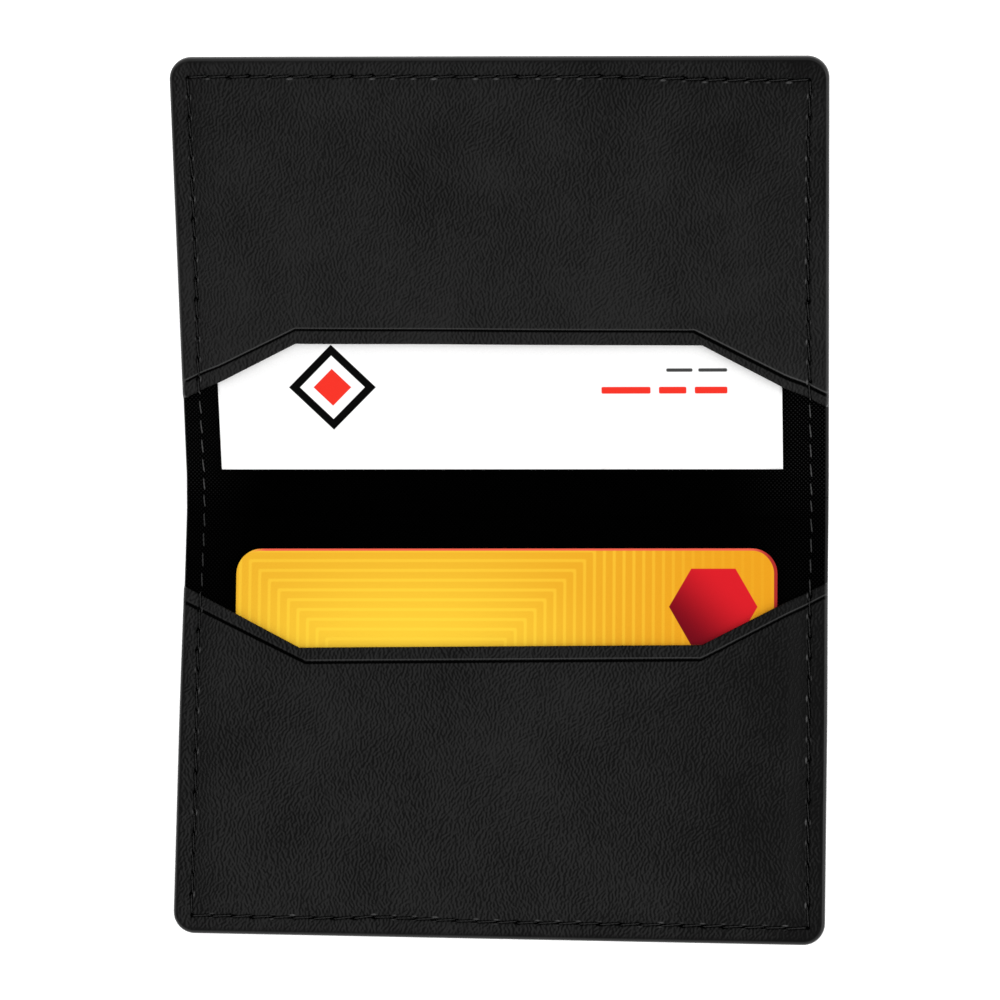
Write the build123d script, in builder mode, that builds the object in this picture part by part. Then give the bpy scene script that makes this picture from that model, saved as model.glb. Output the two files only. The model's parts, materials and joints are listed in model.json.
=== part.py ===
"""Business card case, lying open: two stiffened leatherette halves joined by a soft spine.

Each half is a cover, a stiffener board, a woven lining and a pocket, sewn together round the edge.
The lower half lies flat and holds a bank card; the upper half is raised and holds a business card.
The origin is the middle of the lower cover's outer face, +Y points across the fold, +Z up.
"""

import os
from build123d import *

# the case, flat
case_width = 102.0
half_length = 67.1
spine_width = 5.4
corner_radius = 3.4
edge_rounding = 0.35

# the fold at rest: each of its two creases is turned by this much, in degrees
crease_lift = 11.0
crease_gap = 0.05

# layers of one half, from the outside in
cover_thickness = 1.0
board_thickness = 0.6
lining_thickness = 0.25
card_space = 1.0
pocket_thickness = 0.85

# how far each layer stays back from the edge of the case, and from the crease
lining_inset = 0.5
shoulder_inset = 3.6
shoulder_rounding = 1.0
board_inset = 5.2
board_setback = 1.2

# pocket mouths: a tip at each side edge, and a corner at each end of the straight middle.
# Tips are distances from the crease, and corners are (x, distance from the crease).
lower_tip_left = 12.5
lower_corner_left = (-31.9, 22.0)
lower_corner_right = (31.8, 20.9)
lower_tip_right = 10.7
upper_tip_left = 12.8
upper_corner_left = (-32.7, 22.1)
upper_corner_right = (31.5, 22.3)
upper_tip_right = 12.1
mouth_line_setback = 2.3
mouth_line_width = 0.5
mouth_line_depth = 0.15

# stitching round the edge, in shallow grooves
stitch_inset = 2.9
stitch_width = 0.55
stitch_height = 0.3
stitch_fill = 0.78
groove_width = 0.8
groove_depth = 0.35
end_stitches = 30
side_stitches = 20
spine_stitches = 2

# cards
card_clearance = 0.1
bank_card_width = 85.6
bank_card_height = 54.0
bank_card_thickness = 0.76
bank_card_radius = 3.4
bank_card_x = 0.6
bank_card_setback = 5.9
bank_card_turn = 0.6
business_card_width = 88.9
business_card_height = 50.8
business_card_thickness = 0.35
business_card_x = -0.8
business_card_setback = 1.7
business_card_turn = 0.5

# heights above a half's outer face
lining_top = cover_thickness + lining_thickness
raised_lining_top = lining_top + board_thickness
pocket_base = lining_top
pocket_edge_top = pocket_base + pocket_thickness
pocket_underside = raised_lining_top + card_space
pocket_top = pocket_underside + pocket_thickness
card_base = raised_lining_top + card_clearance
stitch_recess = groove_depth - stitch_height
stitch_x = case_width / 2 - stitch_inset
spine_pitch = spine_width / spine_stitches

# the creases turn about lines on the lining's inner face
hinge_height = lining_top


def past_crease(frame, crease_y):
    """The frame of the panel beyond a crease, turned up about the crease's line."""
    crease = Location((0, crease_y, hinge_height), (crease_lift, 0, 0))
    return Plane(frame.location * crease * Location((0, 0, -hinge_height)))


# each frame starts at its crease, on the panel's outer face; the lower half runs towards its -Y
lower_frame = Plane(origin=(0, half_length / 2, 0), x_dir=(1, 0, 0), z_dir=(0, 0, 1))
spine_frame = past_crease(lower_frame, 0)
upper_frame = past_crease(spine_frame, spine_width)


def finish(node, name):
    """Labels one piece and writes it."""
    node.part.label = name
    export_step(node.part, f"parts/{name}.step")


def panel(side, inset, near):
    """Flat outline of a half: square at the crease, round at its two free corners."""
    half_width = case_width / 2 - inset
    far = half_length - inset
    with BuildSketch() as outline:
        with BuildLine():
            Polyline(
                (-half_width, side * near),
                (half_width, side * near),
                (half_width, side * far),
                (-half_width, side * far),
                close=True,
            )
        make_face()
        free_corners = outline.vertices().sort_by(Axis.Y, reverse=side < 0)[-2:]
        fillet(free_corners, max(corner_radius - inset, edge_rounding))
    return outline.sketch


def mouth(side, edge, setback):
    """The region between the crease and a line beside the pocket's mouth."""
    reach = case_width / 2 + 1
    line = [(x, side * (depth + setback)) for x, depth in edge]
    ends = [(-reach, -side), (-reach, line[0][1])], [(reach, line[-1][1]), (reach, -side)]
    with BuildSketch() as region:
        with BuildLine():
            Polyline(*ends[0], *line, *ends[1], close=True)
        make_face()
    return region.sketch


def mouth_depth_at_stitches(edge, x_sign):
    """Distance from the crease to the pocket's mouth where it crosses the stitching."""
    (tip_x, tip), (corner_x, corner) = edge[:2] if x_sign < 0 else edge[:-3:-1]
    return tip + stitch_inset / abs(tip_x - corner_x) * (corner - tip)


def groove_ring(side):
    """The stitching groove of a half: a band open at the crease."""
    with BuildSketch() as ring:
        add(panel(side, stitch_inset - groove_width / 2, -1))
        add(panel(side, stitch_inset + groove_width / 2, -2), mode=Mode.SUBTRACT)
    return ring.sketch


def side_places():
    """Middles of the stitches down both sides of a half, as (x, distance from the crease)."""
    pitch = (half_length - stitch_inset) / side_stitches
    return [(x, pitch * (step + 0.5)) for x in (-stitch_x, stitch_x) for step in range(side_stitches)]


def end_places():
    """Middles of the stitches along the free edge, as x."""
    pitch = 2 * stitch_x / end_stitches
    return [pitch * (step + 0.5) - stitch_x for step in range(end_stitches)]


def build_cover(name, frame, side):
    """Outer leatherette of a half, rounded at its outer edge, with the stitching groove outside."""
    across = Axis(frame.origin, frame.y_dir * side)
    outline = panel(side, 0, crease_gap)
    ring = groove_ring(side)
    with BuildPart() as cover:
        with BuildSketch(frame):
            add(outline)
        extrude(amount=cover_thickness)
        outer_face = cover.faces().sort_by(Axis(frame.origin, frame.z_dir))[0]
        fillet(outer_face.edges().sort_by(across)[1:], edge_rounding)
        with BuildSketch(frame):
            add(ring)
        extrude(amount=groove_depth, mode=Mode.SUBTRACT)
    finish(cover, name)


def build_board(name, frame, side):
    """Stiffener between the cover and the lining."""
    outline = panel(side, board_inset, board_setback)
    with BuildPart() as board:
        with BuildSketch(frame.offset(cover_thickness)):
            add(outline)
        extrude(amount=board_thickness)
    finish(board, name)


def build_lining(name, frame, side):
    """Woven lining: flat on the cover at the edge, stepped up over the board."""
    outline = panel(side, lining_inset, crease_gap)
    step_inset = board_inset - lining_thickness
    step_setback = board_setback - lining_thickness
    step = panel(side, step_inset, step_setback)
    board_room = panel(side, board_inset, board_setback)
    with BuildPart() as lining:
        with BuildSketch(frame.offset(cover_thickness)):
            add(outline)
        extrude(amount=lining_thickness)
        with BuildSketch(frame.offset(cover_thickness)):
            add(step)
        extrude(amount=board_thickness + lining_thickness)
        with BuildSketch(frame.offset(cover_thickness)):
            add(board_room)
        extrude(amount=board_thickness, mode=Mode.SUBTRACT)
    finish(lining, name)


def build_pocket(name, frame, side, edge):
    """Pocket: sewn down flat round the edge, standing up inside over the card, cut away at its mouth."""
    up = Axis(frame.origin, frame.z_dir)
    across = Axis(frame.origin, frame.y_dir * side)
    base = frame.offset(pocket_base)
    outline = panel(side, 0, crease_gap)
    shoulder = panel(side, shoulder_inset, crease_gap)
    card_room = panel(side, shoulder_inset + pocket_thickness, -1)
    mouth_line = mouth(side, edge, mouth_line_setback)
    beside_line = mouth(side, edge, mouth_line_setback - mouth_line_width)
    cutaway = mouth(side, edge, 0)
    ring = groove_ring(side)
    with BuildPart() as pocket:
        with BuildSketch(base):
            add(outline)
        extrude(amount=pocket_thickness)
        fillet(pocket.faces().sort_by(up)[-1].edges().sort_by(across)[1:], edge_rounding)
        with BuildSketch(base):
            add(shoulder)
        extrude(amount=pocket_top - pocket_base)
        fillet(pocket.faces().sort_by(up)[-1].edges().sort_by(across)[1:], shoulder_rounding)
        with BuildSketch(base):
            add(card_room)
        extrude(amount=pocket_underside - pocket_base, mode=Mode.SUBTRACT)
        with BuildSketch(frame.offset(pocket_edge_top - groove_depth)):
            add(ring)
        extrude(amount=groove_depth, mode=Mode.SUBTRACT)
        with BuildSketch(frame.offset(pocket_top - mouth_line_depth)):
            add(mouth_line)
            add(beside_line, mode=Mode.SUBTRACT)
        extrude(amount=mouth_line_depth, mode=Mode.SUBTRACT)
        with BuildSketch(base):
            add(cutaway)
        extrude(amount=pocket_top, mode=Mode.SUBTRACT)
    finish(pocket, name)


def build_stitching(name, frame, side, edge):
    """Separate stitches of a half: one row outside, one row inside on the lining and the pocket.

    A stitch that would run over the pocket's lip is left out.
    """
    side_length = stitch_fill * (half_length - stitch_inset) / side_stitches
    end_length = stitch_fill * 2 * stitch_x / end_stitches
    all_sides = []
    on_lining = []
    on_pocket = []
    for x, distance in side_places():
        place = (x, side * distance)
        lip = mouth_depth_at_stitches(edge, x)
        all_sides.append(place)
        if distance + side_length / 2 < lip:
            on_lining.append(place)
        elif distance - side_length / 2 > lip:
            on_pocket.append(place)
    end = [(x, side * (half_length - stitch_inset)) for x in end_places()]
    groove_floor = frame.offset(pocket_edge_top - groove_depth)
    with BuildPart() as stitching:
        for level, places in (
            (frame.offset(stitch_recess), all_sides),
            (frame.offset(lining_top), on_lining),
            (groove_floor, on_pocket),
        ):
            with BuildSketch(level):
                with Locations(*places):
                    SlotOverall(side_length, stitch_width, rotation=90)
            extrude(amount=stitch_height)
        for level in (frame.offset(stitch_recess), groove_floor):
            with BuildSketch(level):
                with Locations(*end):
                    SlotOverall(end_length, stitch_width)
            extrude(amount=stitch_height)
    finish(stitching, name)


def build_half(place, frame, side, edge):
    """All sewn layers of one half."""
    build_cover(f"cover_{place}", frame, side)
    build_board(f"board_{place}", frame, side)
    build_lining(f"lining_{place}", frame, side)
    build_pocket(f"pocket_{place}", frame, side, edge)
    build_stitching(f"stitching_{place}", frame, side, edge)


os.makedirs("parts", exist_ok=True)

side_x = case_width / 2
lower_tips = (-side_x, lower_tip_left), (side_x, lower_tip_right)
upper_tips = (-side_x, upper_tip_left), (side_x, upper_tip_right)
lower_mouth = [lower_tips[0], lower_corner_left, lower_corner_right, lower_tips[1]]
upper_mouth = [upper_tips[0], upper_corner_left, upper_corner_right, upper_tips[1]]
build_half("lower", lower_frame, -1, lower_mouth)
build_half("upper", upper_frame, 1, upper_mouth)

# the spine: cover and lining only, so that it bends at its two creases
spine_length = spine_width - 2 * crease_gap
spine_middle = (0, spine_width / 2)

with BuildPart() as cover_spine:
    with BuildSketch(spine_frame):
        with Locations(spine_middle):
            Rectangle(case_width, spine_length)
    extrude(amount=cover_thickness)
    with BuildSketch(spine_frame):
        with Locations((-stitch_x, spine_width / 2), (stitch_x, spine_width / 2)):
            Rectangle(groove_width, spine_width)
    extrude(amount=groove_depth, mode=Mode.SUBTRACT)
finish(cover_spine, "cover_spine")

with BuildPart() as lining_spine:
    with BuildSketch(spine_frame.offset(cover_thickness)):
        with Locations(spine_middle):
            Rectangle(case_width - 2 * lining_inset, spine_length)
    extrude(amount=lining_thickness)
finish(lining_spine, "lining_spine")

with BuildPart() as stitching_spine:
    for level in (spine_frame.offset(stitch_recess), spine_frame.offset(lining_top)):
        with BuildSketch(level):
            for step in range(spine_stitches):
                place_y = spine_pitch * (step + 0.5)
                with Locations((-stitch_x, place_y), (stitch_x, place_y)):
                    SlotOverall(stitch_fill * spine_pitch, stitch_width, rotation=90)
        extrude(amount=stitch_height)
finish(stitching_spine, "stitching_spine")

# cards, each standing out of its pocket towards the fold
with BuildPart() as bank_card:
    with BuildSketch(lower_frame.offset(card_base)):
        with Locations((bank_card_x, -bank_card_setback - bank_card_height / 2)):
            RectangleRounded(bank_card_width, bank_card_height, bank_card_radius, rotation=bank_card_turn)
    extrude(amount=bank_card_thickness)
finish(bank_card, "bank_card")

with BuildPart() as business_card:
    with BuildSketch(upper_frame.offset(card_base)):
        with Locations((business_card_x, business_card_setback + business_card_height / 2)):
            Rectangle(business_card_width, business_card_height, rotation=business_card_turn)
    extrude(amount=business_card_thickness)
finish(business_card, "business_card")
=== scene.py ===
"""Looks of a business card case that lies open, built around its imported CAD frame.

Shapes are worked out on the case laid flat, in millimetres: x along the fold, u across it from the front
crease (negative on the lower half) and h up from the outer face. place() bends them to the case at rest.
A side is -1 on the lower half and 1 on the upper one, and a depth is a distance from that half's crease.
"""

import json
import math

import bpy
import numpy as np
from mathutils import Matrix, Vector
from mathutils.geometry import delaunay_2d_cdt


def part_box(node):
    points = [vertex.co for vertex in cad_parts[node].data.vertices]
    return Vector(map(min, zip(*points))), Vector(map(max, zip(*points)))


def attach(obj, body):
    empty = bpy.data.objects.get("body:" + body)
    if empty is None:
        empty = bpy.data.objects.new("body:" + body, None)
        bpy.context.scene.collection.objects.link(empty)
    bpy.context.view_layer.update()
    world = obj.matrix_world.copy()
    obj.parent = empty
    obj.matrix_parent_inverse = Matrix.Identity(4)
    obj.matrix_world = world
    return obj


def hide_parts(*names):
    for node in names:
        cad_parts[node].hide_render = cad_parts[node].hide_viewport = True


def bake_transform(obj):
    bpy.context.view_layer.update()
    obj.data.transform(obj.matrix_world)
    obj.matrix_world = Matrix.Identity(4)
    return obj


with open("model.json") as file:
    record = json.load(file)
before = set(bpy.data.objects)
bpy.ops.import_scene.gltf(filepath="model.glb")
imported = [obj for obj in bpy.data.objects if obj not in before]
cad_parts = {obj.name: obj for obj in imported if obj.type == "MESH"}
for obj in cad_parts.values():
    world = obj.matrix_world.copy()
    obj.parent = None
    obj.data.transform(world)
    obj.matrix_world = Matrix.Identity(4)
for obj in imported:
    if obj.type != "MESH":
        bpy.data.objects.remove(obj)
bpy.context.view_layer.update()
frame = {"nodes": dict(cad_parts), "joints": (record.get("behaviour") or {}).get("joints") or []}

MM = 0.001


def corners_of(node):
    """Lowest and highest corner of a CAD node, in millimetres."""
    return [np.array(corner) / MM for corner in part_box(node)]


# the fold, from the frame
crease_places = {j["name"]: np.array(j["pos_m"]) / MM for j in frame["joints"] if "pos_m" in j}
front_crease = crease_places["fold_front"]
rear_crease = crease_places["fold_rear"]
across_spine = rear_crease - front_crease
spine_width = float(np.linalg.norm(across_spine))
crease_lift = math.atan2(across_spine[2], across_spine[1])
hinge_height = front_crease[2]
bend_reach = 1.5

# the case, from the frame
cover_low, cover_high = corners_of("cover_lower")
pocket_low, pocket_high = corners_of("pocket_lower")
half_width = cover_high[0]
half_length = front_crease[1] - cover_low[1]
lower_spread = 0.0035
corner_radius = 3.4
middle_u = spine_width / 2

# leather and cloth
cover_thickness = cover_high[2]
cover_rounding = 0.75
rim_height = 1.12
lining_thickness = 0.25
lining_raised = corners_of("lining_lower")[1][2]
lining_inset = 0.4
lining_shift = -0.15
pocket_thickness = 0.85
pocket_base = pocket_low[2]
pocket_raised = pocket_high[2]
pocket_rounding = 0.8
shoulder_start = 3.1
side_shoulder = 3.9
end_shoulder = 2.6

# pocket mouths and the lines pressed beside them: (x, depth) at the left edge, the two corners and the right
# edge; and how wide each line's three parts are painted dark as shade, and how light their lips are painted
# as highlights
mouth_points = {
    -1: ((-half_width, 12.25), (-31.9, 22.0), (31.5, 20.8), (half_width, 10.55)),
    1: ((-half_width, 12.55), (-32.4, 22.1), (31.4, 22.15), (half_width, 11.8)),
}
line_points = {
    -1: ((-half_width, 14.75), (-30.8, 24.4), (31.4, 23.2), (half_width, 12.75)),
    1: ((-half_width, 15.2), (-32.3, 24.4), (30.1, 24.4), (half_width, 13.75)),
}
line_dark = {-1: (0.27, 0.22, 0.15), 1: (0.15, 0.17, 0.27)}
line_light = {-1: (0.3, 0.55, 0.55), 1: (0.7, 0.6, 0.75)}

# stitching: one path round the whole case
stitch_inset = 2.9
stitch_x = half_width - stitch_inset
side_stitches = 20
end_stitches = 30
side_pitch = (half_length - stitch_inset) / side_stitches
stitch_slant = 0.14
groove_depth = 0.25
hole_depth = 0.45
end_hole_depth = 0.08
lip_height = 0.1
cloth_share = 0.35
ply_radius = 0.07
ply_offset = 0.042
ply_sides = 7
ply_turns = 2.6

# how far each row of stitches wanders off its straight line: where along the row, and by how much
side_wander = {
    -1: ((-64, 0.0), (-45, 0.1), (-22, -0.2), (-2, 0.05), (18, -0.2), (40, 0.1), (69, 0.05)),
    1: ((-64, 0.25), (-40, 0.05), (-14, 0.05), (-4, 0.25), (5, 0.15), (35, -0.35), (60, -0.3), (69, 0.05)),
}
end_wander = {
    -1: ((-48, -0.1), (-24, -0.15), (-20, 0.25), (-2, -0.25), (30, -0.2), (48, -0.35)),
    1: ((-48, 0.0), (15, -0.1), (24, -0.25), (32, -0.6), (48, -0.7)),
}

# cards
bank_low, bank_high = corners_of("bank_card")
business_low, business_high = corners_of("business_card")
card_base = bank_low[2]
bank_size = (85.6, 54.0, bank_high[2] - bank_low[2])
bank_middle = ((bank_low[0] + bank_high[0]) / 2, front_crease[1] - (bank_low[1] + bank_high[1]) / 2)
bank_turn = 0.6
bank_radius = 4.0
bank_edge = 0.12
business_radius = 0.15
business_edge = 0.05
business_size = (88.9, 50.8, 0.35)
business_middle = ((business_low[0] + business_high[0]) / 2, 27.1)
business_turn = 0.5


def smooth(t):
    """0 to 1, with level ends."""
    t = np.clip(t, 0, 1)
    return t * t * (3 - 2 * t)


def bell(distance, width):
    """1 at no distance, fading to nothing past about twice the width."""
    return np.exp(-((distance / width) ** 2))


def round_off(distance, radius):
    """How far a surface drops, near an edge rounded to that radius."""
    inward = np.clip(1 - distance / radius, 0, 1)
    return radius * (1 - np.sqrt(1 - inward**2))


def place(points, spread=lower_spread):
    """Bends flat (x, u, h) points to the case at rest, in metres; the lower half is a touch wider."""
    x, u, h = np.asarray(points, float).reshape(-1, 3).T
    x = x * (1 + spread * smooth((-u - 5) / 30))
    y, z = u.copy(), h - hinge_height
    for crease in (spine_width, 0.0):
        turn = crease_lift * smooth((u - crease + bend_reach) / (2 * bend_reach))
        c, s = np.cos(turn), np.sin(turn)
        y, z = crease + (y - crease) * c - z * s, (y - crease) * s + z * c
    return np.column_stack((x, y + front_crease[1], z + hinge_height)) * MM


def depth_at(u, side):
    """Distance from a half's own crease."""
    return -u if side < 0 else u - spine_width


def u_at(depth, side):
    """Place across the case, from the distance to a half's own crease."""
    return -depth if side < 0 else depth + spine_width


def edge_distance(x, u):
    """Distance in from the case's outer edge, with its round corners."""
    out_x = np.abs(x) - (half_width - corner_radius)
    out_u = np.abs(u - middle_u) - (half_length + middle_u - corner_radius)
    beyond = np.hypot(np.maximum(out_x, 0), np.maximum(out_u, 0))
    return corner_radius - beyond - np.minimum(np.maximum(out_x, out_u), 0)


# ---- pocket mouths -----------------------------------------------------------------------------------


def edges_of(points):
    """Each edge of a mouth or of a pressed line as (depth on the middle line, slope)."""
    found = []
    for (x0, d0), (x1, d1) in zip(points, points[1:]):
        slope = (d1 - d0) / (x1 - x0)
        found.append((d0 - slope * x0, slope))
    return found


def distance_into(x, depth, points):
    """Distance into the pocket from its mouth or its pressed line, which have sharp corners."""
    away = [(depth - level - slope * x) / math.hypot(1, slope) for level, slope in edges_of(points)]
    return np.maximum(np.maximum(away[0], away[1]), away[2])


def shoulder_rise(x, u):
    """How far a pocket rises, inside its stitching, to make room for its board and card."""
    from_side = smooth((half_width - np.abs(x) - shoulder_start) / side_shoulder)
    from_end = smooth((half_length + middle_u - np.abs(u - middle_u) - shoulder_start) / end_shoulder)
    return (pocket_raised - pocket_base - pocket_thickness) * from_side * from_end


# ---- stitches ----------------------------------------------------------------------------------------

lower_side = [-side_pitch * step for step in range(side_stitches, 0, -1)]
upper_side = [spine_width + side_pitch * step for step in range(side_stitches + 1)]
side_holes = lower_side + [0.0, middle_u] + upper_side
end_holes = np.linspace(-stitch_x, stitch_x, end_stitches + 1)
stitch_shares = (0, 0.035, 0.075, 0.13, 0.22, 0.35, 0.5, 0.65, 0.78, 0.87, 0.925, 0.965)
row_asides = (0.08, 0.17, 0.27, 0.38, 0.5, 0.64, 0.82, 1.05, 1.4)
row_asides = sorted([0, *row_asides, *(-aside for aside in row_asides)])


def stitch_row(holes, across, wander):
    """A row of holes: their places along it, and across it where it wanders off its straight line."""
    places, offsets = zip(*wander)
    return np.array([holes, across + np.interp(holes, places, offsets)])


side_rows = {side: stitch_row(side_holes, side * stitch_x, side_wander[side]) for side in (-1, 1)}
end_rows = {
    -1: stitch_row(end_holes, side_holes[0], end_wander[-1]),
    1: stitch_row(end_holes, side_holes[-1], end_wander[1]),
}
for side, side_place in ((-1, 0), (1, -1)):
    for end, end_place in ((-1, 0), (1, -1)):
        side_rows[side][0, end_place] = end_rows[end][1, side_place]
        end_rows[end][0, side_place] = side_rows[side][1, end_place]


def row_press(along, aside, holes, inner, slant):
    """How far one row's thread presses its leather in, by a slanting groove and holes, and the holes' lips.

    The lips are stronger on the row's inner side, which is where aside has the sign of inner.
    """
    index = np.clip(np.searchsorted(holes, along) - 1, 0, len(holes) - 2)
    start, end = holes[index], holes[index + 1]
    share = np.clip((along - start) / (end - start), 0, 1)
    to_hole = np.minimum(np.abs(along - start), np.abs(along - end))
    off_thread = aside - slant * (2 * share - 1)
    fade = bell(np.maximum(np.maximum(holes[0] - along, along - holes[-1]), 0), 0.2)
    groove = groove_depth * bell(off_thread, 0.27) * fade
    nearest = index + (share > 0.5)
    at_end = (nearest == 0) | (nearest == len(holes) - 1)
    hole = np.where(at_end, end_hole_depth, hole_depth) * bell(to_hole, 0.36) * bell(aside, 0.33)
    strength = np.random.default_rng(len(holes)).uniform((0.0, 0.3), (0.9, 1.5), (len(holes), 2))
    lip = np.where(at_end, 0, strength[nearest, (aside * inner > 0).astype(int)])
    lip *= lip_height * bell(to_hole, 0.45) * bell(np.abs(aside) - 0.32, 0.14)
    return groove + hole, lip


def stitch_marks(x, u):
    """How far thread presses the leather in at each place, and the lips that it raises."""
    press, lip = np.zeros(len(x)), np.zeros(len(x))
    rows = [(u, x, row, -side, -stitch_slant) for side, row in side_rows.items()]
    rows += [(x, u, row, -end, stitch_slant) for end, row in end_rows.items()]
    for along, across, (holes, places), inner, slant in rows:
        near = (np.abs(across - places[0]) < 3) & (along > holes[0] - 1) & (along < holes[-1] + 1)
        aside = across[near] - np.interp(along[near], holes, places)
        pressed, raised = row_press(along[near], aside, holes, inner, slant)
        press[near] = np.maximum(press[near], pressed)
        lip[near] = np.maximum(lip[near], raised)
    return press, lip


def stitch_points():
    """Fine points about every stitch of the case."""
    found = []
    for rows, on_side in ((side_rows, True), (end_rows, False)):
        for holes, places in rows.values():
            spans = zip(holes, holes[1:])
            at = np.array([a + share * (b - a) for a, b in spans for share in stitch_shares])
            for aside in row_asides:
                across = np.interp(at, holes, places) + aside
                found += list(zip(across, at)) if on_side else list(zip(at, across))
    return found


# ---- meshes ------------------------------------------------------------------------------------------

# how far in from an edge, a mouth or a pressed line the meshes have rings of points
edge_rings = (0.03, 0.08, 0.16, 0.27, 0.42, 0.6, 0.8, 1.1)
mouth_rings = (0.03, 0.08, 0.15, 0.26, 0.42, 0.65)
line_rings = (0, 0.09, 0.17, 0.25, 0.33, 0.42, 0.55, 0.75)


def thinned(values, least):
    """Sorted values, without those closer than least to the one before."""
    values = sorted(values)
    kept = [values[0]]
    for value in values[1:]:
        if value - kept[-1] >= least:
            kept.append(value)
    kept[-1] = values[-1]
    return kept


def depth_stations(near, far):
    """Depths down the side of a half, close together where it bends at its crease."""
    between = [d for d in (*np.arange(-2.75, 2.6, 0.25), *np.arange(3.0, far, 0.8)) if near < d < far]
    return thinned([near, far, *between], 0.15)


def row_stations(low, high, step):
    """Places along the fold, close together over the stitching."""
    fine = [row + aside for row in (-stitch_x, stitch_x) for aside in row_asides]
    between = [v for v in (*fine, *np.arange(low, high, step)) if low < v < high]
    return thinned([low, high, *between], 0.07)


def half_path(inset, side, near_left, near_right):
    """Points from the cut on the left, round a half's far end, to the cut on the right."""
    reach, far, radius = half_width - inset, half_length - inset, corner_radius - inset
    turns = np.linspace(0, math.pi / 2, 14)
    left = [(-reach, d) for d in depth_stations(near_left, far - radius)[:-1]]
    right = [(reach, d) for d in depth_stations(near_right, far - radius)[:-1]]
    arc = [(reach - radius + radius * math.sin(t), far - radius + radius * math.cos(t)) for t in turns]
    end = [(x, far) for x in np.linspace(-reach + radius, reach - radius, 120)[1:-1]]
    path = left + [(-x, d) for x, d in reversed(arc)] + end + arc + right[::-1]
    path = [(x, u_at(d, side)) for x, d in path]
    return path if side < 0 else path[::-1]


def flat_mesh(outline, inner, lines=()):
    """Points and triangles over a flat outline, with edges along its inner lines."""
    points = list(outline)
    edges = [(i, (i + 1) % len(outline)) for i in range(len(outline))]
    for line in lines:
        edges += [(i, i + 1) for i in range(len(points), len(points) + len(line) - 1)]
        points += line
    found, _, faces, *_ = delaunay_2d_cdt([Vector(p) for p in points + inner], edges, [], 1, 1e-5)
    return np.array([tuple(p) for p in found]), np.array([tuple(f) for f in faces])


def closed_mesh(flat, faces, top, bottom):
    """Points and faces of a closed sheet between two heights over the same triangles."""
    count = len(flat)
    points = np.vstack((np.column_stack((flat, top)), np.column_stack((flat, bottom))))
    edges = {}
    for face in faces:
        for a, b in zip(face, np.roll(face, -1)):
            edges[(a, b)] = True
    rim = [(a, b) for a, b in edges if (b, a) not in edges]
    walls = [(a, a + count, b + count, b) for a, b in rim]
    return points, [tuple(f) for f in faces] + [tuple(f[::-1] + count) for f in faces] + walls


def new_piece(name, points, faces, material, flat=None, sharp=50, marks=None):
    """A mesh object from points in metres, which keeps each point's flat place and other values."""
    mesh = bpy.data.meshes.new(name)
    mesh.from_pydata(points.tolist(), [], faces)
    mesh.validate()
    if flat is not None:
        attribute = mesh.attributes.new("flat", "FLOAT_VECTOR", "POINT")
        attribute.data.foreach_set("vector", np.asarray(flat, np.float32).ravel())
    for key, values in (marks or {}).items():
        attribute = mesh.attributes.new(key, "FLOAT", "POINT")
        attribute.data.foreach_set("value", np.resize(values, len(points)).astype(np.float32))
    mesh.shade_smooth()
    mesh.set_sharp_from_angle(angle=math.radians(sharp))
    mesh.materials.append(material)
    piece = bpy.data.objects.new(name, mesh)
    bpy.context.scene.collection.objects.link(piece)
    return piece


def inside(points, side, inset, near):
    """Those points that lie in a half's outline, where near(x, depth) is how far they are past its cut."""
    x, u = np.array(points).T
    keep = (edge_distance(x, u) > inset + 0.03) & (near(x, depth_at(u, side)) > 0.03)
    return [points[i] for i in np.flatnonzero(keep)]


def ring_points(side, insets, near_left, near_right):
    """Points on rings that follow a half's outline, each further in."""
    return [p for inset in insets for p in half_path(inset, side, near_left, near_right)]


def grid_points(side, step, near):
    """An even grid over a half, with each other row set half a step across."""
    rows = np.arange(near, half_length - 0.5, step * 0.87)
    columns = np.arange(-half_width + 0.7, half_width - 0.6, step)
    return [(x + step / 2 * (i % 2), u_at(d, side)) for i, d in enumerate(rows) for x in columns]


def crease_points(side, least):
    """Rows of points over a half's crease, where the sheet bends."""
    rows = [d for d in np.arange(-2.5, 2.6, 0.25) if d > least + 0.1]
    return [(x, u_at(d, side)) for d in rows for x in np.arange(-half_width + 0.9, half_width - 0.8, 1.3)]


def spaced(points, special, gap):
    """Points of an even grid that keep clear of finer ones."""
    around = [(i, j) for i in (-1, 0, 1) for j in (-1, 0, 1)]
    taken = {(round(x / gap) + i, round(u / gap) + j) for x, u in special for i, j in around}
    return [(x, u) for x, u in points if (round(x / gap), round(u / gap)) not in taken]


def sheet_flat(side, inset, rings, step, fine):
    """The flat triangles of a cover or a lining: a half, its crease and its half of the spine."""
    cut = -middle_u
    reach = half_width - inset
    across = [(x, u_at(cut, side)) for x in row_stations(-reach, reach, 1.3)]
    outline = half_path(inset, side, cut, cut) + (across[-2:0:-1] if side < 0 else across[1:-1])

    def past_cut(x, depth):
        return depth - cut

    special = ring_points(side, [inset + ring for ring in rings], cut, cut)
    special = inside(special + fine + crease_points(side, cut), side, inset, past_cut)
    grid = inside(grid_points(side, step, cut), side, inset, past_cut)
    return flat_mesh(outline, special + spaced(grid, special, 0.45))


def line_along(side, points, further=0.0):
    """Points from left to right along a pocket's mouth or its pressed line, or further in than it."""
    lines = [(level + further * math.hypot(1, slope), slope) for level, slope in edges_of(points)]
    turns = [(b - a) / (p - q) for (a, p), (b, q) in zip(lines, lines[1:])]
    xs = sorted({*row_stations(-half_width, half_width, 0.8), *turns})
    return [(x, u_at(min(level + slope * x for level, slope in lines), side)) for x in xs]


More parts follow.
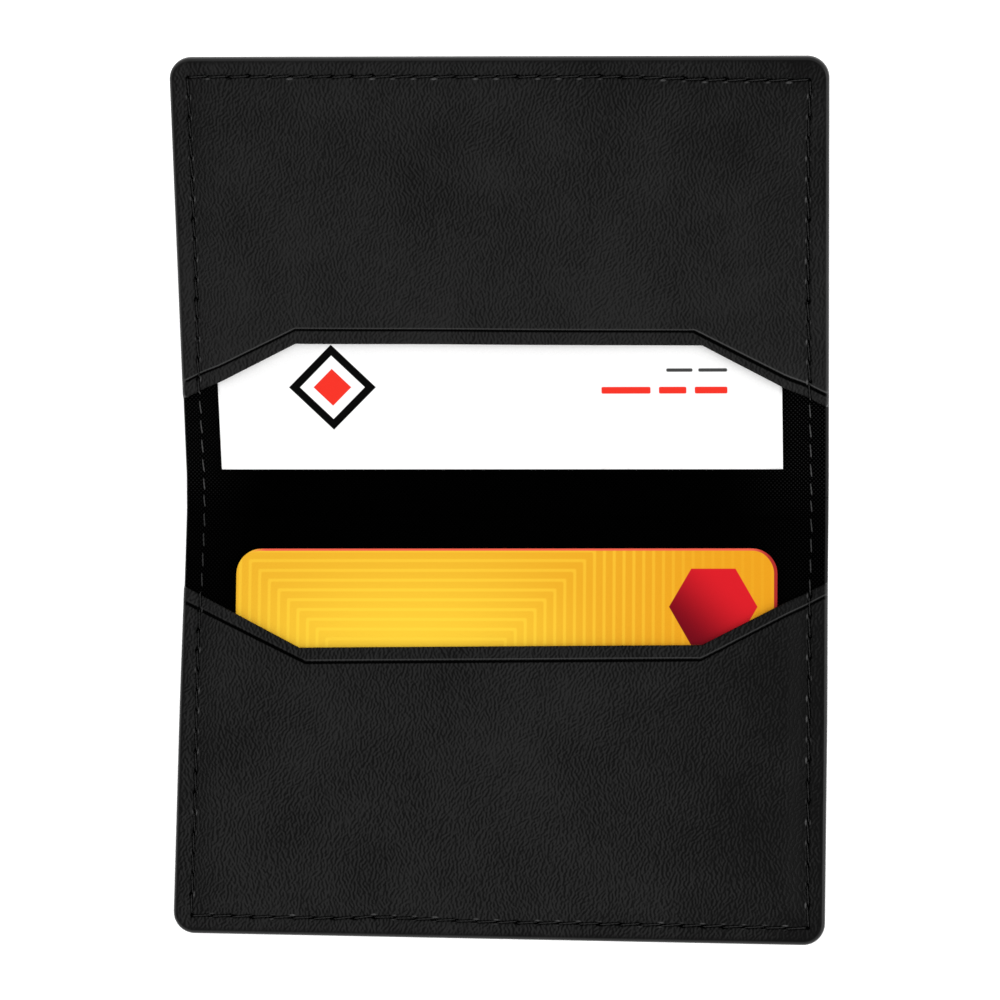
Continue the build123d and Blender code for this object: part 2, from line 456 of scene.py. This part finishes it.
def pocket_flat(side):
    """The flat triangles of a pocket, whose near edge is its mouth."""
    left, right = mouth_points[side][0][1], mouth_points[side][-1][1]
    mouth = line_along(side, mouth_points[side])
    outline = half_path(0, side, left, right) + (mouth[-2:0:-1] if side < 0 else mouth[1:-1])
    lines = [line_along(side, mouth_points[side], ring) for ring in mouth_rings]
    for ring in line_rings:
        lines += [line_along(side, line_points[side], reach) for reach in {-ring, ring}]

    def past_mouth(x, depth):
        return distance_into(x, depth, mouth_points[side])

    lines = [inside(line, side, 0, past_mouth) for line in lines]
    special = ring_points(side, edge_rings, left, right) + stitch_points()
    special = inside(special, side, 0, past_mouth)
    grid = inside(grid_points(side, 1.1, 8), side, 0, past_mouth)
    return flat_mesh(outline, special + spaced(grid, special + sum(lines, []), 0.45), lines)


def waves(x, u, seed):
    """Slight uneven waves of a surface, about -1 to 1."""
    draw = np.random.default_rng(seed)
    total = np.zeros(len(x))
    for _ in range(7):
        turn, length, phase = draw.uniform(0, math.pi), draw.uniform(14, 40), draw.uniform(0, 6.28)
        total += np.sin((x * math.cos(turn) + u * math.sin(turn)) * 2 * math.pi / length + phase)
    return total / 4


# ---- covers, linings and pockets ---------------------------------------------------------------------


def raised_lining(x, u):
    """Height of the lining's top: it rises over the stiffening boards, and dips under its stitches."""
    depth = np.maximum(-u, u - spine_width)
    over_board = smooth((edge_distance(x, u) - 3.4) / 1.8) * smooth((depth - 0.2) / 1.0)
    base = hinge_height + (lining_raised - hinge_height) * over_board
    folds = 0.035 * bell(depth - 0.1, 0.5) + 0.02 * np.sin(depth * 4.2) * bell(depth - 2.5, 2.2)
    return base - cloth_share * stitch_marks(x, u)[0] + folds


def inner_cover(x, u):
    """Height of the cover's inner face, with the rim that shows beside the lining."""
    rim = (rim_height - cover_thickness) * smooth((0.35 - edge_distance(x, u)) / 0.2)
    return cover_thickness + rim - cloth_share * stitch_marks(x, u)[0]


def cover(name, side, material):
    """The outer leather of one half and its half of the spine."""
    flat, faces = sheet_flat(side, 0, edge_rings, 1.2, stitch_points())
    x, u = flat.T
    edge = edge_distance(x, u)
    press, lip = stitch_marks(x, u)
    bottom = round_off(edge, cover_rounding) + press - lip + 0.03 * waves(x, u, 5)
    top = inner_cover(x, u) - round_off(edge, 0.3)
    points, faces = closed_mesh(flat, faces, np.maximum(top, bottom + 0.05), bottom)
    # Painted shade and highlight: these marks darken the stitch grooves and holes and lighten the holes'
    # raised lips.
    marks = {"rim": smooth(1.2 - edge), "painted_groove_shade": press / 0.3, "lip": lip / lip_height}
    return new_piece(name, place(points), faces, material, flat=points, marks=marks)


def lining(name, side, material):
    """The cloth inside one half and its half of the spine."""
    flat, faces = sheet_flat(side, lining_inset, (0.05, 0.15, 0.3, 0.6), 1.3, stitch_points())
    edge = edge_distance(*flat.T) - lining_inset
    flat[:, 0] += lining_shift
    x, u = flat.T
    top = raised_lining(x, u) - round_off(edge, 0.12)
    points, faces = closed_mesh(flat, faces, top, top - lining_thickness)
    return new_piece(name, place(points), faces, material, flat=points)


def line_marks(x, depth, side):
    """Painted shade in the groove of the line pressed beside a mouth, and painted highlight on its lips."""
    off = distance_into(x, depth, line_points[side])
    left, right = line_points[side][1][0], line_points[side][2][0]
    turns = (left - 1, left + 1, right - 1, right + 1)
    # Painted shade widths and painted highlight strengths, for each line's left, middle and right parts.
    wide = np.interp(x, turns, np.repeat(line_dark[side], (1, 2, 1)))
    light = np.interp(x, turns, np.repeat(line_light[side], (1, 2, 1)))
    light_lip, dark_lip = bell(off * side - wide - 0.17, 0.12), bell(off * side + wide + 0.2, 0.12)
    return bell(off, wide), light * light_lip + 0.2 * dark_lip


def pocket_heights(x, u, side):
    """Heights of a pocket's two faces."""
    edge = edge_distance(x, u)
    mouth = distance_into(x, depth_at(u, side), mouth_points[side])
    line = distance_into(x, depth_at(u, side), line_points[side])
    press, raised = stitch_marks(x, u)
    uneven = 0.09 * smooth((edge - 9) / 12) * (waves(x, u, 8 + side) - 0.7)
    smooth_top = pocket_base + pocket_thickness + shoulder_rise(x, u) + uneven
    pressed = 0.2 * bell(line, 0.2) - 0.06 * bell(np.abs(line) - 0.4, 0.15)
    top = smooth_top - pressed - press + raised - round_off(edge, pocket_rounding) - round_off(mouth, 0.42)
    under_edge = (pocket_base - rim_height) * smooth((0.35 - edge) / 0.2)
    bottom = smooth_top - pocket_thickness - under_edge + round_off(mouth, 0.12)
    return top, np.minimum(bottom, top - 0.08)


def pocket(name, side, material):
    """The leather of one pocket, sewn down round three sides."""
    flat, faces = pocket_flat(side)
    x, u = flat.T
    top, bottom = pocket_heights(x, u, side)
    points, faces = closed_mesh(flat, faces, top, bottom)
    press, lip = stitch_marks(x, u)
    dark, light = line_marks(x, depth_at(u, side), side)
    # Painted shade: these marks darken the stitch grooves, holes and pressed line.
    marks = {"rim": smooth(1.2 - edge_distance(x, u)), "painted_groove_shade": np.maximum(press / 0.3, dark)}
    # Painted highlight: this mark lightens the lips of the holes and of the pressed line.
    marks["lip"] = np.maximum(lip / lip_height, light)
    return new_piece(name, place(points), faces, material, flat=points, marks=marks)


# ---- thread ------------------------------------------------------------------------------------------


def on_pocket(x, u, before, over):
    """0 over the lining between the mouths, 1 on the pockets' edges."""
    past = [distance_into(x, depth_at(u, side), mouth_points[side]) for side in (-1, 1)]
    return smooth((np.maximum(*past) + before) / over)


def ply(line, phase):
    """Points and faces of one ply: a tube that winds round the stitch's own line."""
    steps = len(line)
    along = np.gradient(line, axis=0)
    along /= np.linalg.norm(along, axis=1)[:, None]
    across = np.cross(along, (0, 0, 1.0))
    across /= np.maximum(np.linalg.norm(across, axis=1), 1e-6)[:, None]
    up = np.cross(across, along)
    wind = phase + 2 * math.pi * ply_turns * np.linspace(0, 1, steps)[:, None]
    centre = line + ply_offset * (np.cos(wind) * across + np.sin(wind) * up)
    taper = np.clip(np.minimum(np.arange(steps), np.arange(steps)[::-1]) * 0.5 + 0.45, 0, 1)[:, None]
    rings = []
    for part in range(ply_sides):
        turn = 2 * math.pi * part / ply_sides
        rings.append(centre + ply_radius * taper * (math.cos(turn) * across + math.sin(turn) * up))
    points = np.stack(rings, axis=1).reshape(-1, 3)
    faces = []
    for step in range(steps - 1):
        for part in range(ply_sides):
            a, b = step * ply_sides + part, step * ply_sides + (part + 1) % ply_sides
            faces.append((a, b, b + ply_sides, a + ply_sides))
    faces.append(tuple(range(ply_sides))[::-1])
    faces.append(tuple((steps - 1) * ply_sides + part for part in range(ply_sides)))
    return points, faces


def stitch_line(start, end, outside, slant):
    """The middle line of one stitch, which dives into the hole at each end."""
    share = np.linspace(0, 1, 15)
    share = (share + smooth(share)) / 2
    start, end = np.array(start), np.array(end)
    along = (end - start) / np.linalg.norm(end - start)
    aside = np.array((along[1], -along[0]))
    flat = start + share[:, None] * (end - start) - slant * (2 * share[:, None] - 1) * aside
    x, u = flat.T
    sunk = 1 if outside else on_pocket(x, u, 0.3, 0.8)
    sink = 0.19 * sunk - 0.02 + (1.2 - 0.5 * sunk) * np.abs(2 * share - 1) ** (4 + 2 * sunk)
    pocket_lift = pocket_base + pocket_thickness + shoulder_rise(x, u) - hinge_height
    inner = hinge_height + pocket_lift * on_pocket(x, u, 0.55, 0.6)
    return np.column_stack((x, u, sink if outside else inner - sink))


def stitches_of(side):
    """Start and end of each stitch of one half and its half of the spine."""
    found = []
    for holes, places in side_rows.values():
        for start, end in zip(np.column_stack((places, holes)), np.column_stack((places[1:], holes[1:]))):
            if (start[1] + end[1]) / 2 * side > middle_u * side:
                found.append((start, end))
    points = end_rows[side].T
    return found + list(zip(points, points[1:]))


def thread(name, side, material):
    """All the stitches of one half and its half of the spine, inside and outside."""
    draw = np.random.default_rng(21 + side)
    points, faces, shares, count = [], [], [], 0
    for start, end in stitches_of(side):
        for outside in (False, True):
            line = stitch_line(start, end, outside, stitch_slant * draw.uniform(0.75, 1.2))
            phase = draw.uniform(0, math.pi)
            for half_turn in (0, math.pi):
                tube, tube_faces = ply(line, phase + half_turn)
                faces += [tuple(i + count for i in face) for face in tube_faces]
                points.append(tube)
                shares.append(np.linspace(0, 1, len(tube)))
                count += len(tube)
    flat, share = np.vstack(points), np.concatenate(shares)
    x, u, h = flat.T
    # Painted light: inside, over the lining, the thread is lightened, most on the upper half, more on the
    # right row than the left below the fold, and fading along each stitch.
    lit = (1 - on_pocket(x, u, 0.2, 0.4)) * (h > hinge_height - 0.4) * (1.1 - 0.75 * share)
    lit *= np.where(x < 0, 0.15, 0.4) + np.where(x < 0, 0.75, 0.6) * smooth((u + 2) / 8)
    return new_piece(name, place(flat), faces, material, flat=flat, marks={"lit": lit})


# ---- cards -------------------------------------------------------------------------------------------


def card_loop(width, length, radius, inset):
    """Points round a card's outline, that far in, counter-clockwise."""
    rounding = max(radius - inset, 0.05)
    reach_x, reach_y = width / 2 - inset - rounding, length / 2 - inset - rounding
    found = []
    for quarter, (sx, sy) in enumerate(((1, 1), (-1, 1), (-1, -1), (1, -1))):
        for turn in np.linspace(0, math.pi / 2, 16) + quarter * math.pi / 2:
            x, y = rounding * math.cos(turn), rounding * math.sin(turn)
            found.append((sx * reach_x + x, sy * reach_y + y))
        run, (dx, dy) = (2 * reach_x, (-sx, 0)) if quarter % 2 == 0 else (2 * reach_y, (0, -sy))
        x, y = found[-1]
        parts = int(run // 4)
        found += [(x + dx * run * i / parts, y + dy * run * i / parts) for i in range(1, parts)]
    return found


def card(name, size, middle, side, turn, radius, bevel, material):
    """A thin card with softened edges, which keeps its own place from its middle and its fold-side edge."""
    width, length, thickness = size
    insets = (0.15 * bevel, 0.5 * bevel, bevel, 0.3, 0.45, 0.8)
    rings = [p for inset in insets for p in card_loop(width, length, radius, inset)]
    columns = np.arange(4 - width / 2, width / 2 - 2, 4)
    rows = np.arange(4 - length / 2, length / 2 - 2, 4)
    inner = rings + [(x, y) for x in columns for y in rows]
    flat, faces = flat_mesh(card_loop(width, length, radius, 0), inner)
    x, y = flat.T
    out_x, out_y = np.abs(x) - (width / 2 - radius), np.abs(y) - (length / 2 - radius)
    beyond = np.hypot(np.maximum(out_x, 0), np.maximum(out_y, 0))
    inward = radius - beyond - np.minimum(np.maximum(out_x, out_y), 0)
    drop = round_off(inward, bevel)
    local, faces = closed_mesh(flat, faces, thickness - drop, drop)
    x, y, h = local.T
    c, s = math.cos(math.radians(turn)), math.sin(math.radians(turn))
    placed = (middle[0] + x * c - y * s, u_at(middle[1], side) + x * s + y * c, h + card_base)
    own = np.column_stack((x, length / 2 + side * y, h))
    points = place(np.column_stack(placed), spread=0)
    return new_piece(name, points, faces, material, flat=own, marks={"inward": inward})


# ---- materials ---------------------------------------------------------------------------------------


class Nodes:
    """A new material whose nodes are made by short calls."""

    def __init__(self, name, **constants):
        self.material = bpy.data.materials.new(name)
        self.material.use_nodes = True
        self.tree = self.material.node_tree
        self.shader = self.tree.nodes["Principled BSDF"]
        for key, value in constants.items():
            self.shader.inputs[key.replace("_", " ")].default_value = value

    def add(self, kind, inputs=(), **settings):
        """A new node, with its settings and its inputs: constants or other nodes' outputs."""
        node = self.tree.nodes.new("ShaderNode" + kind)
        for key, value in settings.items():
            setattr(node, key, value)
        for key, value in dict(inputs).items():
            self.feed(node.inputs[key], value)
        return node

    def feed(self, socket, value):
        if hasattr(value, "is_output"):
            self.tree.links.new(value, socket)
        else:
            socket.default_value = value

    def math(self, operation, *values):
        return self.add("Math", enumerate(values), operation=operation).outputs[0]

    def sum(self, *values):
        total = values[0]
        for value in values[1:]:
            total = self.math("ADD", total, value)
        return total

    def times(self, *values):
        total = values[0]
        for value in values[1:]:
            total = self.math("MULTIPLY", total, value)
        return total

    def step(self, value, low, high, to_low=0.0, to_high=1.0):
        """A smooth step of a value, from to_low at low to to_high at high."""
        inputs = {"Value": value, "From Min": low, "From Max": high, "To Min": to_low, "To Max": to_high}
        return self.add("MapRange", inputs, interpolation_type="SMOOTHSTEP").outputs["Result"]

    def mix(self, share, first, second):
        node = self.add("Mix", data_type="RGBA")
        self.feed(node.inputs["Factor"], share)
        self.feed(node.inputs[6], first)
        self.feed(node.inputs[7], second)
        return node.outputs[2]

    def attribute(self, name):
        """A value kept on the mesh: the flat place is a vector, and all others are numbers."""
        node = self.add("Attribute", attribute_name=name)
        return node.outputs["Vector"] if name == "flat" else node.outputs["Fac"]

    def split(self, vector):
        return self.add("SeparateXYZ", {0: vector}).outputs

    def noise(self, vector, scale, detail=2.0, roughness=0.5):
        inputs = {"Vector": vector, "Scale": scale, "Detail": detail, "Roughness": roughness}
        return self.add("TexNoise", inputs, noise_dimensions="3D").outputs["Fac"]

    def gabor(self, vector, scale, frequency, anisotropy, turn):
        inputs = {0: vector, 1: scale, 2: frequency, 3: anisotropy, 4: turn}
        return self.add("TexGabor", inputs, gabor_type="2D").outputs["Value"]

    def scaled(self, vector, x, y, z):
        return self.add("VectorMath", {0: vector, 1: (x, y, z)}, operation="MULTIPLY").outputs[0]

    def bump(self, height, distance, strength=1.0):
        """Feeds the shader's normal with a bump of that height, in metres."""
        inputs = {"Height": height, "Distance": distance, "Strength": strength}
        self.feed(self.shader.inputs["Normal"], self.add("Bump", inputs).outputs[0])

    def set(self, socket, value):
        self.feed(self.shader.inputs[socket], value)


def grey(value):
    """An even colour of that brightness."""
    return (value, value, value, 1)


def leather_material(name):
    """Matt black leatherette with a fine grain across the fold, ungrained along its turned edges, with
    painted light and shade by place, painted shade in its grooves and holes, and painted highlights on their
    lips.
    """
    n = Nodes(name, IOR=1.45)
    flat = n.attribute("flat")
    rim, painted_groove_shade, lip = (n.attribute(key) for key in ("rim", "painted_groove_shade", "lip"))
    x, u, _ = n.split(flat)
    lean = n.step(n.noise(flat, 0.08, 1.0), 0.3, 0.7, 0.12, -0.45)
    ridges = n.gabor(flat, 1.2, 1.38, 0.6, lean)
    patches = n.noise(flat, 1.3, 2.0, 0.6)
    ridges = n.step(n.sum(ridges, n.times(patches, 0.26)), 0.45, 0.8)
    mottle = n.noise(flat, 0.09, 3.0, 0.55)
    grain = n.times(ridges, n.math("SUBTRACT", 1.0, rim))
    n.bump(grain, 0.00005, 1.0)
    # Painted light and shade by place: the grain's tone grows stronger toward the lower half's far end and
    # fainter to the right; the spine and upper half are lighter near the fold and darker at the far ends; the
    # right side is darker, most on the lower half.
    depth = n.times(n.step(u, 5, -55, 0.76, 0.92), n.step(x, 10, 55, 1.0, 0.82))
    ends = n.sum(n.step(u, 0, -5, 0.0, -0.16), n.step(u, 25, 65, 0.11, -0.03))
    right = n.times(n.step(x, 5, 60), n.sum(n.step(u, 0, -5, 0.08, -0.33), n.step(u, 30, 65, 0.0, -0.2)))
    # Painted shadow: a darker band along each side's pocket shoulder, just inside the stitching.
    from_middle = n.math("ABSOLUTE", x)
    shoulder_shadow = n.times(n.step(from_middle, 43.5, 46), n.step(from_middle, 48.6, 47.6), -0.17)
    tone = n.sum(n.times(grain, depth), n.times(mottle, 0.85), ends, right, shoulder_shadow)
    face = n.mix(n.step(tone, 0.2, 1.35), grey(0.0014), grey(0.0142))
    # Painted shade: near black in the grooves, holes and pressed lines.
    dark = n.step(painted_groove_shade, 0.1, 0.8)
    face = n.mix(dark, face, grey(0.0004))
    # Painted highlight: lighter on the lips of holes and pressed lines.
    n.set("Base Color", n.mix(n.step(lip, 0.1, 1.0), face, grey(0.07)))
    shine = n.sum(n.step(dark, 0.0, 1.0, 0.07, 0.005), n.step(rim, 0.7, 1.0, 0.0, 0.25))
    n.set("Specular IOR Level", shine)
    n.set("Roughness", n.sum(n.times(mottle, 0.12), n.times(rim, -0.1), 0.42))
    return n.material


def lining_material():
    """Black plain-woven cloth, whose weave is painted lighter at its sides and on the raised upper half, as
    painted light.
    """
    n = Nodes("lining_cloth_black", Specular_IOR_Level=0.0)
    flat = n.attribute("flat")
    x, u, _ = n.split(flat)
    wander = n.noise(flat, 0.5, 2.0)
    along = n.math("SINE", n.times(n.sum(u, n.times(wander, 0.25)), 2 * math.pi / 0.66))
    across = n.math("SINE", n.times(n.sum(x, n.times(wander, 0.25)), 2 * math.pi / 0.64))
    weave = n.math("MULTIPLY", along, across)
    slub = n.noise(n.scaled(flat, 0.35, 3.0, 1), 1.0, 2.0)
    n.bump(n.sum(weave, n.times(slub, 1.2)), 0.00004, 0.7)
    # Painted light: the weave shows lighter toward the sides and on the raised upper half.
    painted_weave_light = n.times(n.step(n.math("ABSOLUTE", n.sum(x, 2.0)), 34, 50), n.step(u, -2, 8, 0.4, 1.0))
    painted_weave_light = n.math("MAXIMUM", painted_weave_light, n.step(u, 6, 9, 0.06, 0.3))
    tone = n.times(n.step(n.sum(n.times(weave, 0.9), n.times(slub, 0.4)), 0.35, 0.9), painted_weave_light)
    n.set("Base Color", n.mix(tone, grey(0.0002), grey(0.0095)))
    n.set("Roughness", n.sum(n.times(slub, 0.15), 0.8))
    return n.material


def thread_material():
    """Black sewing thread with fine fibres along it, painted lighter over the lining as painted light."""
    n = Nodes("thread_black", Specular_IOR_Level=0.12, Sheen_Weight=0.03, Sheen_Roughness=0.4)
    flat = n.attribute("flat")
    fibre = n.noise(flat, 9.0, 3.0, 0.6)
    n.bump(fibre, 0.00003, 0.6)
    shade = n.mix(n.step(fibre, 0.3, 0.7), grey(0.007), grey(0.024))
    # Painted light: lighter where the lit mark is high.
    n.set("Base Color", n.mix(n.attribute("lit"), shade, grey(0.07)))
    n.set("Roughness", n.sum(n.times(fibre, 0.15), 0.5))
    return n.material


def board_material():
    """Grey pressed board inside the covers."""
    n = Nodes("stiffener_board_grey", Specular_IOR_Level=0.2)
    place_in = n.add("TexCoord").outputs["Object"]
    fibre = n.noise(n.scaled(place_in, 400, 1800, 1500), 1.0, 4.0, 0.65)
    n.bump(fibre, 0.00008, 0.6)
    n.set("Base Color", n.mix(n.step(fibre, 0.3, 0.7), (0.16, 0.14, 0.11, 1), (0.28, 0.25, 0.2, 1)))
    n.set("Roughness", n.sum(n.times(fibre, 0.1), 0.8))
    return n.material


def bank_card_material():
    """Glossy plastic: a yellow face with nested tonal frames, a coral edge line painted darker crimson as
    shade toward its right end, and a crimson hexagon.
    """
    n = Nodes("bank_card_print", Specular_IOR_Level=0.05)
    flat = n.attribute("flat")
    x, y, _ = n.split(flat)
    ground = n.mix(n.step(x, -10, 42), (0.735, 0.39, 0.02, 1), (0.71, 0.3, 0.009, 1))
    across = n.math("MAXIMUM", n.math("SUBTRACT", n.math("ABSOLUTE", n.sum(x, 14.0)), 13.4), 0.0)
    inward = n.math("MAXIMUM", n.math("SUBTRACT", 15.1, y), 0.0)
    frames = n.math("SMOOTH_MAX", across, inward, 0.5)
    line = n.step(n.math("PINGPONG", frames, 0.775), 0.42, 0.66)
    glow_x, glow_y = n.times(n.sum(x, 16.0), 1 / 34), n.times(n.sum(y, -18.0), 1 / 19)
    reach = n.math("SQRT", n.sum(n.times(glow_x, glow_x), n.times(glow_y, glow_y)))
    glow = n.step(reach, 1.1, 0.1)
    lines = n.times(line, n.sum(n.times(glow, 0.4), 0.4), n.step(x, 34, 18, 0.2, 1.0))
    face = n.mix(glow, ground, (0.85, 0.54, 0.035, 1))
    face = n.mix(lines, face, (0.88, 0.58, 0.04, 1))
    # Painted shade: toward the card's right end the coral edge line turns dark crimson and widens.
    edge_line = n.mix(n.step(x, 38, 42), (0.74, 0.1, 0.06, 1), (0.36, 0.02, 0.018, 1))
    from_edge = n.sum(n.attribute("inward"), n.step(x, 40, 42.2, 0.0, -0.14))
    edged = n.times(n.step(from_edge, 0.42, 0.32), n.step(x, -41, -38))
    face = n.mix(edged, face, edge_line)
    away_x, away_y = n.math("ABSOLUTE", n.sum(x, -32.8)), n.math("ABSOLUTE", n.sum(y, -9.2))
    corner = n.sum(n.times(away_x, math.sin(math.radians(60))), n.times(away_y, 0.5))
    hexagon = n.math("MAXIMUM", corner, away_y)
    shine = n.step(n.math("SUBTRACT", n.sum(x, -32.8), n.sum(y, -9.2)), -9, 6)
    fill = n.mix(shine, (0.15, 0.0004, 0.006, 1), (0.6, 0.009, 0.016, 1))
    face = n.mix(n.step(hexagon, 6.05, 5.95), face, fill)
    speck = n.noise(flat, 12.0, 2.0)
    n.bump(speck, 0.000003, 0.5)
    n.set("Base Color", face)
    n.set("Roughness", n.sum(n.times(speck, 0.06), 0.35))
    return n.material


def business_card_material():
    """White card stock printed with a diamond in a diamond and plain bars where words would be."""
    n = Nodes("business_card_print", Specular_IOR_Level=0.03)
    flat = n.attribute("flat")
    x, y, _ = n.split(flat)
    fibre = n.noise(flat, 5.0, 3.0, 0.6)
    face = n.mix(n.step(fibre, 0.3, 0.7), grey(0.85), grey(0.89))
    red = (0.78, 0.03, 0.018, 1)
    mark = n.sum(n.math("ABSOLUTE", n.sum(x, 26.2)), n.math("ABSOLUTE", n.sum(y, -13.4)))
    face = n.mix(n.times(n.step(mark, 6.95, 6.85), n.step(mark, 5.1, 5.2)), face, grey(0.001))
    face = n.mix(n.step(mark, 3.05, 2.95), face, red)

    def bar(left, right, near, far):
        """1 inside a bar with round corners."""
        inside_x = n.math("SUBTRACT", (right - left) / 2, n.math("ABSOLUTE", n.sum(x, -(left + right) / 2)))
        inside_y = n.math("SUBTRACT", (far - near) / 2, n.math("ABSOLUTE", n.sum(y, -(near + far) / 2)))
        return n.step(n.math("SMOOTH_MIN", inside_x, inside_y, 0.4), 0.0, 0.1)

    for left, right in ((16.2, 24.0), (25.2, 29.6), (30.8, 36.0)):
        face = n.mix(bar(left, right, 12.2, 13.4), face, red)
    for left, right in ((26.4, 30.6), (31.4, 36.0)):
        face = n.mix(bar(left, right, 15.7, 16.35), face, grey(0.05))
    n.bump(fibre, 0.000006, 0.5)
    n.set("Base Color", face)
    n.set("Roughness", n.sum(n.times(fibre, 0.1), 0.55))
    return n.material


# ---- camera, light and floor -------------------------------------------------------------------------


def camera():
    """The camera, from a perspective fit of the outline."""
    data = bpy.data.cameras.new("camera")
    data.sensor_width = 36
    data.lens = 149.5
    data.clip_start, data.clip_end = 0.01, 20
    item = bpy.data.objects.new("camera", data)
    item.location = (0.06721, -0.03552, 0.65031)
    item.rotation_euler = [math.radians(a) for a in (6.327, 5.857, 1.154)]
    bpy.context.scene.collection.objects.link(item)
    bpy.context.scene.camera = item


def softbox(name, spot, size, power):
    """A square soft light that faces the middle of the case."""
    data = bpy.data.lights.new(name, "AREA")
    data.shape, data.size, data.energy = "SQUARE", size, power
    item = bpy.data.objects.new(name, data)
    item.location = spot
    item.rotation_euler = (Vector((0, 0.035, 0)) - Vector(spot)).to_track_quat("-Z", "Y").to_euler()
    bpy.context.scene.collection.objects.link(item)


def floor():
    """A large pale floor just under the case."""
    steps = np.linspace(-1.5, 1.5, 13)
    points = np.array([(x, y + 0.03, -0.0001) for y in steps for x in steps])
    faces = [(i, i + 1, i + 14, i + 13) for row in range(12) for i in range(row * 13, row * 13 + 12)]
    n = Nodes("floor_white", Specular_IOR_Level=0.1, Roughness=0.8)
    n.set("Base Color", grey(0.92))
    n.set("Emission Color", grey(1.0))
    n.set("Emission Strength", 0.45)
    mesh = bpy.data.meshes.new("floor")
    mesh.from_pydata(points.tolist(), [], faces)
    mesh.materials.append(n.material)
    item = bpy.data.objects.new("floor", mesh)
    bpy.context.scene.collection.objects.link(item)


def studio():
    """Even white surroundings, one soft light from the right, and the floor."""
    world = bpy.data.worlds.new("studio")
    bpy.context.scene.world = world
    world.use_nodes = True
    world.node_tree.nodes["Background"].inputs["Color"].default_value = grey(1.0)
    world.node_tree.nodes["Background"].inputs["Strength"].default_value = 1.13
    softbox("softbox_right", (0.75, -0.05, 0.42), 0.5, 2.0)
    bpy.context.scene.view_settings.view_transform = "Standard"
    floor()


# ---- the case ----------------------------------------------------------------------------------------


def joined(piece, side):
    """Bakes a piece's placement into its mesh; place() has already bent the piece across its half's crease.
    """
    crease = 0 if side < 0 else spine_width
    start, end = place([(0, crease + reach, hinge_height) for reach in (-bend_reach, bend_reach)])
    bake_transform(piece)


def build_half(side, end, half, cover_leather, pocket_leather, cloth, sewing):
    """The cover, lining, thread and pocket of one half; those of the lower half stand for the spine too."""
    spine_nodes = {"cover": [], "lining": [], "stitching": []}
    if side < 0:
        spine_nodes = {key: [key + "_spine"] for key in spine_nodes}
    piece = cover(f"cover_{end}", side, cover_leather)
    joined(piece, side)
    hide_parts(f"cover_{half}", *spine_nodes["cover"])
    piece = lining(f"lining_{end}", side, cloth)
    joined(piece, side)
    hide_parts(f"lining_{half}", *spine_nodes["lining"])
    piece = thread(f"thread_{end}", side, sewing)
    joined(piece, side)
    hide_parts(f"stitching_{half}", *spine_nodes["stitching"])
    piece = pocket(f"pocket_leather_{half}", side, pocket_leather)
    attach(piece, f"{half}_half")
    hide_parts(f"pocket_{half}")
    edges = zip(mouth_points[side], mouth_points[side][1:])
    gap = sum((x1 - x0) * (d0 + d1) / 2 for (x0, d0), (x1, d1) in edges)


def build_cards():
    """The two cards, each of which slides in its pocket."""
    plastic, paper = bank_card_material(), business_card_material()
    piece = card("bank_card_plastic", bank_size, bank_middle, -1, bank_turn, bank_radius, bank_edge, plastic)
    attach(piece, "bank_card")
    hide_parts("bank_card")
    corner, edge = business_radius, business_edge
    piece = card("business_card_paper", business_size, business_middle, 1, business_turn, corner, edge, paper)
    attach(piece, "business_card")
    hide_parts("business_card")


def build():
    """The whole scene: camera, studio, both halves with their boards, and the cards."""
    camera()
    studio()
    cover_leather = leather_material("cover_leatherette_black")
    pocket_leather = leather_material("pocket_leatherette_black")
    cloth, sewing, board = lining_material(), thread_material(), board_material()
    for side, end, half in ((-1, "front", "lower"), (1, "rear", "upper")):
        build_half(side, end, half, cover_leather, pocket_leather, cloth, sewing)
        slots = frame["nodes"][f"board_{half}"].data.materials
        slots.clear()
        slots.append(board)
    build_cards()


build()
